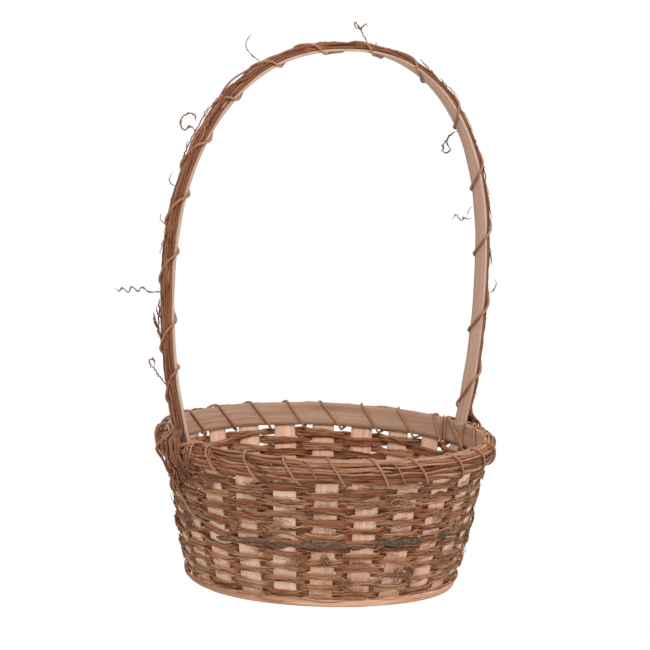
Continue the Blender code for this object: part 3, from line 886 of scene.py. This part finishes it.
ARCH_LENGTHS, ARCH = arch_line(4 * MM)
ARCH_RUN = np.gradient(ARCH, axis=0)
ARCH_RUN /= np.linalg.norm(ARCH_RUN, axis=1, keepdims=True)
ARCH_OUT = np.stack([-ARCH_RUN[:, 2], 0 * ARCH_RUN[:, 1], ARCH_RUN[:, 0]], axis=1)
ARCH_LENGTH = ARCH_LENGTHS[-1]


def arch_point(length, across=0.0, out=0.0):
    """Points beside the arch at these lengths along it."""
    length, across, out = np.broadcast_arrays(length, across, out)
    middle = np.stack([np.interp(length, ARCH_LENGTHS, ARCH[:, k]) for k in range(3)], axis=-1)
    normal = np.stack([np.interp(length, ARCH_LENGTHS, ARCH_OUT[:, k]) for k in range(3)], axis=-1)
    return middle + normal * out[..., None] + np.stack([0 * across, across, 0 * across], axis=-1)


def foot_line(side, out_and_level):
    """Points beside the handle's foot: side is -1 or 1, and out is from the stakes' line, in mm."""
    return np.array([[side * (wall_radius(z * MM) + out * MM), 0.0, z * MM] for out, z in out_and_level])


def add_handle_strip():
    tail = ((-2.1, 58), (-2.1, 70), (-2.1, 82), (-2.1, 95), (-2.1, 108.5), (0.6, 112.8), (0.6, 124))
    middle = np.concatenate([foot_line(-1, tail), ARCH, foot_line(1, tail)[::-1]])
    run = np.gradient(middle, axis=0)
    run /= np.linalg.norm(run, axis=1, keepdims=True)
    normal = np.stack([-run[:, 2], 0 * run[:, 1], run[:, 0]], axis=1)
    rng = np.random.default_rng(41)
    low = smooth((RIM_HEIGHT - middle[:, 2]) / (25 * MM))
    place = np.arange(len(middle)) * 4 * MM
    half = (HANDLE_WIDTH * (1 - low) + 13 * MM * low) / 2 + Wobble(rng, 0.35 * MM, 160 * MM)(place)
    lines = []
    for share in np.linspace(-1, 1, 7):
        crown = 0.25 * MM * (1 - share**2)
        shift = np.stack([0 * half, share * half, 0 * half], axis=1)
        lines.append(middle + shift + normal * crown)
    rows = np.stack(lines, axis=1)
    builder = Builder()
    builder.slab(rows, np.repeat(normal[:, None], 7, axis=1), HANDLE_THICK - 0.3 * MM, tone=0.6)
    builder.finish("handle_bow", BOW_CHIP, "wood_chip", "handle_strip")


VINE_FOOT = (  # out and up in mm
    (4.4, 145), (6.3, 140.5), (9.6, 136.8), (12.6, 132.5), (13.4, 126),
    (13.2, 117), (10.2, 109.5), (6.0, 103), (4.6, 95),
)
HANDLE_LANES = (  # across, out from the strip's face, and radius in mm
    (-6.7, 1.1, 1.15), (-4.2, 1.4, 1.45), (-1.4, 1.3, 1.35), (1.4, 1.4, 1.45), (4.2, 1.3, 1.3),
    (6.7, 1.1, 1.15), (-5.3, 3.3, 1.1), (-2.6, 3.8, 1.25), (0.2, 3.9, 1.1), (2.9, 3.7, 1.2),
    (5.5, 3.1, 1.0),
)


LOOSE_LANES = (6, 10)  # these two stand off the handle for a little way
LOOSE_AT = 0.365
BARKED_LANES = (3, 9)
HANDLE_FIBRES = 90


def add_handle_fibre(builder, rng):
    """A thin peeling or a broken side shoot that springs a little way from the handle's vines."""
    share = np.linspace(0, 1, 14)
    along = rng.uniform(0.04, 0.96) * ARCH_LENGTH + rng.uniform(8, 34) * MM * share * rng.choice((-1, 1))
    across = rng.uniform(-8, 8) * MM + rng.uniform(-3, 3) * MM * share**2
    out = HANDLE_THICK / 2 + rng.uniform(3.4, 5.2) * MM + rng.uniform(0.0, 3.4) * MM * share**2
    across = across + Wobble(rng, 0.7 * MM, 14 * MM)(along)
    out = out + Wobble(rng, 0.5 * MM, 12 * MM)(along)
    size = tapered(14, rng.uniform(0.3, 0.65) * MM, 4, 0.3)
    builder.tube(arch_point(along, across, out), size, tone=rng.uniform(0, 1), sides=5, rng=rng)


def add_handle_vines():
    rng = np.random.default_rng(51)
    groups = [Builder() for _ in range(4)]
    start, stop = 15 * MM, ARCH_LENGTH - 15 * MM
    length = np.linspace(start, stop, 260)
    for number, (across, away, thick) in enumerate(HANDLE_LANES):
        sway = Wobble(rng, 0.8 * MM, 150 * MM)(length)
        lift = np.abs(Wobble(rng, 0.55 * MM, 120 * MM)(length))
        if number in LOOSE_LANES:
            middle = (LOOSE_AT + 0.012 * (number == 10)) * ARCH_LENGTH
            lift = lift + 4.5 * MM * np.exp(-(((length - middle) / (15 * MM)) ** 2))
        points = arch_point(length, across * MM + sway, HANDLE_THICK / 2 + away * MM + lift)
        feet = []
        for side, first in ((-1, sway[0]), (1, sway[-1])):
            foot = foot_line(side, VINE_FOOT)
            foot[:, 0] += side * max(away - 2, 0) * 0.8 * MM
            fan = np.linspace(1.0, 2.3, len(foot))
            foot[:, 1] += (across * MM + first) * fan + Wobble(rng, 1.6 * MM, 40 * MM)(foot[:, 2])
            feet.append(foot)
        line = np.concatenate([through(feet[0][::-1], 3 * MM), points, through(feet[1], 3 * MM)])
        thick = thick * MM * rng.uniform(0.85, 1.12)
        size = uneven(line, thick, 8, 0.13, 45 * MM, rng, step=3 * MM)
        groups[number % 4].tube(
            line, knuckled(size, 3 * MM, rng), tone=rng.uniform(0.0, 0.85),
            bark=0.75 if number in BARKED_LANES else 0.0, lump=0.09, rng=rng,
        )
    for number in range(HANDLE_FIBRES):
        add_handle_fibre(groups[number % 4], rng)
    for number, builder in enumerate(groups, 1):
        builder.finish(f"handle_twigs_{number}", HANDLE_VINE, "brown_vine", f"handle_vine_{number}")


FOOT_STRAYS = (  # degrees from the foot, height and out in mm, then the radius and tone
    (((-2, 139, 9), (-6, 132, 13), (-17, 118, 13), (-20, 107, 8), (-14, 97, 6), (-8, 90, 5), (-3, 78, 5),
      (4, 66, 4), (8, 60, 0)), 1.25, 0.7),
    (((13, 132, -3.6), (10, 135.2, 0), (4.5, 131, 10), (1, 122, 13.5), (-6, 113, 11), (-12, 106, 7),
      (-17, 101, 3)), 1.3, 0.85),
    (((-3, 141, 8), (-6, 132, 13.5), (-8, 121, 14), (-4, 115, 12.8), (2, 111.5, 10), (8, 109.3, 6.5),
      (14, 108, 2)), 1.1, 0.6),
    (((2, 140, 8), (5, 132, 13.5), (4, 120, 14.5), (0, 112, 12), (-5, 105, 7), (-9, 97, 5),
      (-13, 88, 3)), 1.2, 0.3),
    (((-12, 134, 6), (-14, 128, 11.5), (-13, 119, 12.5), (-9, 112, 9), (-4, 106, 7), (2, 99, 5.5),
      (7, 92, 3)), 1.0, 0.5),
    (((6, 134, 7), (8, 126, 12), (9, 117, 12.5), (6, 109, 9), (1, 101, 6), (-5, 92, 5),
      (-8, 82, 2)), 0.9, 0.15),
)


def wall_line(points, spacing):
    """A smooth line through points given as degrees, height and out in mm."""
    return through([wall(math.radians(a), z * MM, out * MM) for a, z, out in points], spacing)


def add_foot_strays():
    """Loose vines that cross over the handle's feet and end in the weave."""
    rng = np.random.default_rng(57)
    builder = Builder()
    for turned in (180, 0):
        for points, thick, tone in FOOT_STRAYS:
            sign = 1 if turned else -1
            line = wall_line([(turned + sign * a, z, out) for a, z, out in points], 2.2 * MM)
            size = knuckled(uneven(line, thick * MM, 6, 0.12, 30 * MM, rng), 2.2 * MM, rng, 50 * MM)
            builder.tube(line, size, tone=tone, lump=0.07, rng=rng)
    builder.finish("foot_vines", RIM_VINE, "brown_vine")


WRAP_EDGES = (  # how far up the bow the wrap meets its back edge, then its front edge, and so on, in mm
    30, 65, 75, 105, 135, 165, 185, 215, 235, 265, 295, 310, 340, 360, 385, 405, 440, 455,
    480, 505, 530, 565, 585, 625, 645, 685, 705, 755, 775, 815, 845,
)
OUTER_PASS = (  # across and out in mm, and the share of the way to the other edge
    (9.8, 0.0, 0.0), (9.5, 3.0, 0.08), (7.6, 5.6, 0.18), (3.6, 7.0, 0.35),
    (-3.6, 7.0, 0.65), (-7.6, 5.6, 0.82), (-9.5, 3.0, 0.92),
)
INNER_PASS = ((-9.8, 0.0, 0.0), (-8.8, -2.3, 0.12), (0.0, -2.35, 0.5), (8.8, -2.3, 0.88))


def add_wrap():
    rng = np.random.default_rng(61)
    places = [(WRAP_EDGES[0] - 8, 0.0, -2.35), (WRAP_EDGES[0] - 2, 8.8, -2.3)]
    for number, (start, stop) in enumerate(zip(WRAP_EDGES, WRAP_EDGES[1:])):
        for across, out, share in INNER_PASS if number % 2 else OUTER_PASS:
            places.append((start + (stop - start) * share, across, out))
    places += [(WRAP_EDGES[-1], 9.8, 0.0), (WRAP_EDGES[-1] + 3, 9.5, 3.0)]
    line = through([arch_point(along * MM, across * MM, out * MM) for along, across, out in places], 1.8 * MM)
    size = knuckled(uneven(line, 1.15 * MM, 5, 0.08, 40 * MM, rng), 2 * MM, rng, 110 * MM, 0.25)
    builder = Builder()
    builder.tube(line, size, tone=0.4, sides=8, lump=0.04, rng=rng)
    builder.finish("handle_wrap_vine", LASH_VINE, "tan_vine", "handle_wrap")


TENDRILS = (  # points as x, y and z in mm, then the radius and how wavy it is
    (((30, 0, 472), (27, 1, 480), (23, 3, 488), (18, 3, 494), (15, 1, 495), (15, -1, 491), (20, -2, 490),
      (26, 0, 494), (29, 1, 491)), 0.5, 0.5),
    (((-137, 2, 400), (-142, 4, 405), (-148, 4, 402), (-153, 2, 407), (-153, -1, 413), (-148, -3, 417),
      (-142, -3, 415), (-140, -1, 410)), 0.6, 0.4),
    (((-68, 0, 455), (-76, 2, 460), (-85, 3, 466), (-91, 3, 473), (-91, 1, 480), (-87, 0, 485)), 0.35, 0.1),
    (((-38, 0, 466), (-30, 2, 473), (-20, 3, 477), (-10, 2, 477), (-3, 0, 472)), 0.45, 0.2),
    (((131, 6, 398), (124, 7, 396), (118, 5, 391), (113, 3, 386), (111, 1, 381), (116, 0, 379),
      (119, 2, 384), (116, 4, 389), (121, 5, 392)), 0.5, 0.8),
    (((148, 6, 319), (144, 7, 318), (139, 5, 320), (136, 3, 317), (131, 2, 321), (127, 1, 323),
      (125, 1, 319)), 0.45, 0.7),
    (((150, 7, 330), (146, 8, 326), (143, 7, 320)), 0.3, 0.3),
    (((-156, -2, 180), (-163, -3, 184), (-168, -2, 190), (-172, 0, 196), (-175, 2, 200), (-176, 3, 204),
      (-173, 4, 206), (-171, 2, 202), (-174, 0, 198)), 0.5, 0.8),
    (((-158, 0, 176), (-160, -3, 184), (-162, -5, 192), (-161, -6, 199), (-158, -7, 203)), 0.4, 0.8),
    (((-160, 1, 208), (-166, 1, 222), (-169, 2, 231), (-172, 3, 239), (-173, 3, 246)), 0.9, 0.3),
    (((-158, 2, 236), (-166, 3, 241), (-170, 4, 247), (-169, 5, 251)), 0.6, 0.3),
    (((35, 1, 469), (37, 1, 474), (38, 1, 478)), 0.9, 0.0),
    (((-158, 2, 258), (-165, 9, 262), (-170, 19, 261), (-172, 29, 264), (-171, 38, 259), (-173, 47, 262),
      (-172, 55, 256), (-174, 63, 259), (-173, 71, 255), (-174, 78, 257)), 0.5, 0.1),
    (((-152, 3, 352), (-159, 4, 356), (-161, 4, 362), (-158, 3, 366)), 0.35, 0.4),
    (((-161, 4, 320), (-167, 5, 324), (-168, 6, 330)), 0.4, 0.4),
    (((162, -4, 250), (168, -5, 254), (170, -6, 260), (167, -6, 264)), 0.4, 0.5),
    (((158, 3, 200), (163, 4, 205), (164, 5, 212)), 0.4, 0.4),
    (((88, 4, 446), (94, 6, 452), (99, 8, 451), (101, 9, 446)), 0.35, 0.4),
)


def add_tendrils():
    rng = np.random.default_rng(71)
    builder = Builder()
    for points, thick, wave in TENDRILS:
        line = through(np.array(points) * MM, 1.1 * MM)
        place = np.arange(len(line)) * 1.1 * MM
        sway = np.stack([Wobble(rng, wave * MM, 9 * MM)(place) for _ in range(3)], axis=1)
        line = line + sway * smooth(place / (6 * MM))[:, None]
        size = uneven(line, thick * MM, 5, 0.2, 9 * MM, rng, step=1.1 * MM, least=0.3)
        size = knuckled(size, 1.1 * MM, rng, 12 * MM, 0.9)
        builder.tube(line, size, tone=rng.uniform(0, 0.5), bark=0.4, lump=0.1, rng=rng)
    builder.finish("loose_tendrils", HANDLE_VINE, "brown_vine")


# ---------------------------------------------------------------- stage, light and camera


def add_stage():
    """A white floor that the camera sees as plain paper, and that throws light back up."""
    mesh = bpy.data.meshes.new("floor")
    size = 8.0
    corners = [(-size, -size, 0), (size, -size, 0), (size, size, 0), (-size, size, 0)]
    mesh.from_pydata(corners, [], [(0, 1, 2, 3)])
    floor = bpy.data.objects.new("floor", mesh)
    floor.location.z = -0.2 * MM
    bpy.context.scene.collection.objects.link(floor)
    material = bpy.data.materials.new("white_paper")
    material.use_nodes = True
    tree = material.node_tree
    tree.nodes.clear()
    paper = tree.nodes.new("ShaderNodeBsdfDiffuse")
    paper.inputs["Color"].default_value = (0.8, 0.8, 0.8, 1)
    white = tree.nodes.new("ShaderNodeEmission")
    mix = tree.nodes.new("ShaderNodeMixShader")
    tree.links.new(tree.nodes.new("ShaderNodeLightPath").outputs["Is Camera Ray"], mix.inputs["Fac"])
    tree.links.new(paper.outputs["BSDF"], mix.inputs[1])
    tree.links.new(white.outputs["Emission"], mix.inputs[2])
    tree.links.new(mix.outputs["Shader"], tree.nodes.new("ShaderNodeOutputMaterial").inputs["Surface"])
    mesh.materials.append(material)


def add_light(name, place, target, size, power):
    light = bpy.data.lights.new(name, "AREA")
    light.shape = "DISK"
    light.size = size
    light.energy = power
    light.color = (1.0, 0.98, 0.96)
    obj = bpy.data.objects.new(name, light)
    obj.location = place
    obj.rotation_mode = "QUATERNION"
    obj.rotation_quaternion = (Vector(target) - Vector(place)).to_track_quat("-Z", "Y")
    bpy.context.scene.collection.objects.link(obj)


def add_lights():
    world = bpy.data.worlds.new("studio")
    bpy.context.scene.world = world
    world.use_nodes = True
    tree = world.node_tree
    background = tree.nodes["Background"]
    path = tree.nodes.new("ShaderNodeLightPath")
    power = tree.nodes.new("ShaderNodeMapRange")
    power.inputs["To Min"].default_value = 0.70
    power.inputs["To Max"].default_value = 1.0
    tree.links.new(path.outputs["Is Camera Ray"], power.inputs["Value"])
    tree.links.new(power.outputs["Result"], background.inputs["Strength"])
    background.inputs["Color"].default_value = (1, 1, 1, 1)
    add_light("key", (-1.0, -2.0, 2.3), (0, 0, 0.15), 1.2, 46)
    add_light("fill", (1.9, -1.5, 1.0), (0, 0, 0.15), 1.6, 12)
    add_light("back", (0.6, 2.0, 1.8), (0, 0, 0.2), 1.4, 16)


CAMERA_AZIMUTH = math.radians(-30)
CAMERA_ELEVATION = math.radians(8.1)
CAMERA_ROLL = math.radians(2.0)
CAMERA_DISTANCE = 2.8
CAMERA_LENS = 175.1
CAMERA_TARGET = Vector((0, 0, 0.22))
CAMERA_RIGHT_BY = -4.1 * MM
CAMERA_UP_BY = 7.7 * MM


def add_camera():
    a, e = CAMERA_AZIMUTH, CAMERA_ELEVATION
    back = Vector((math.sin(a) * math.cos(e), -math.cos(a) * math.cos(e), math.sin(e)))
    data = bpy.data.cameras.new("camera")
    data.lens = CAMERA_LENS
    data.sensor_width = 36
    data.clip_end = 50
    camera = bpy.data.objects.new("camera", data)
    bpy.context.scene.collection.objects.link(camera)
    turn = (-back).to_track_quat("-Z", "Y")
    right, up = turn @ Vector((1, 0, 0)), turn @ Vector((0, 1, 0))
    camera.location = CAMERA_TARGET + right * CAMERA_RIGHT_BY + up * CAMERA_UP_BY + back * CAMERA_DISTANCE
    camera.rotation_mode = "QUATERNION"
    camera.rotation_quaternion = turn @ Quaternion((0, 0, 1), CAMERA_ROLL)
    bpy.context.scene.camera = camera


add_strips()
for row, (name, height) in enumerate(zip(ROWS, ROW_HEIGHTS)):
    add_row(row, name, height)
add_bark_and_tangles()
add_foot_hoop()
add_rim_band()
add_rim_vines()
add_rim_lashing()
add_handle_strip()
add_handle_vines()
add_foot_strays()
add_wrap()
add_tendrils()
add_stage()
add_lights()
add_camera()
bpy.context.scene.view_settings.view_transform = "Standard"
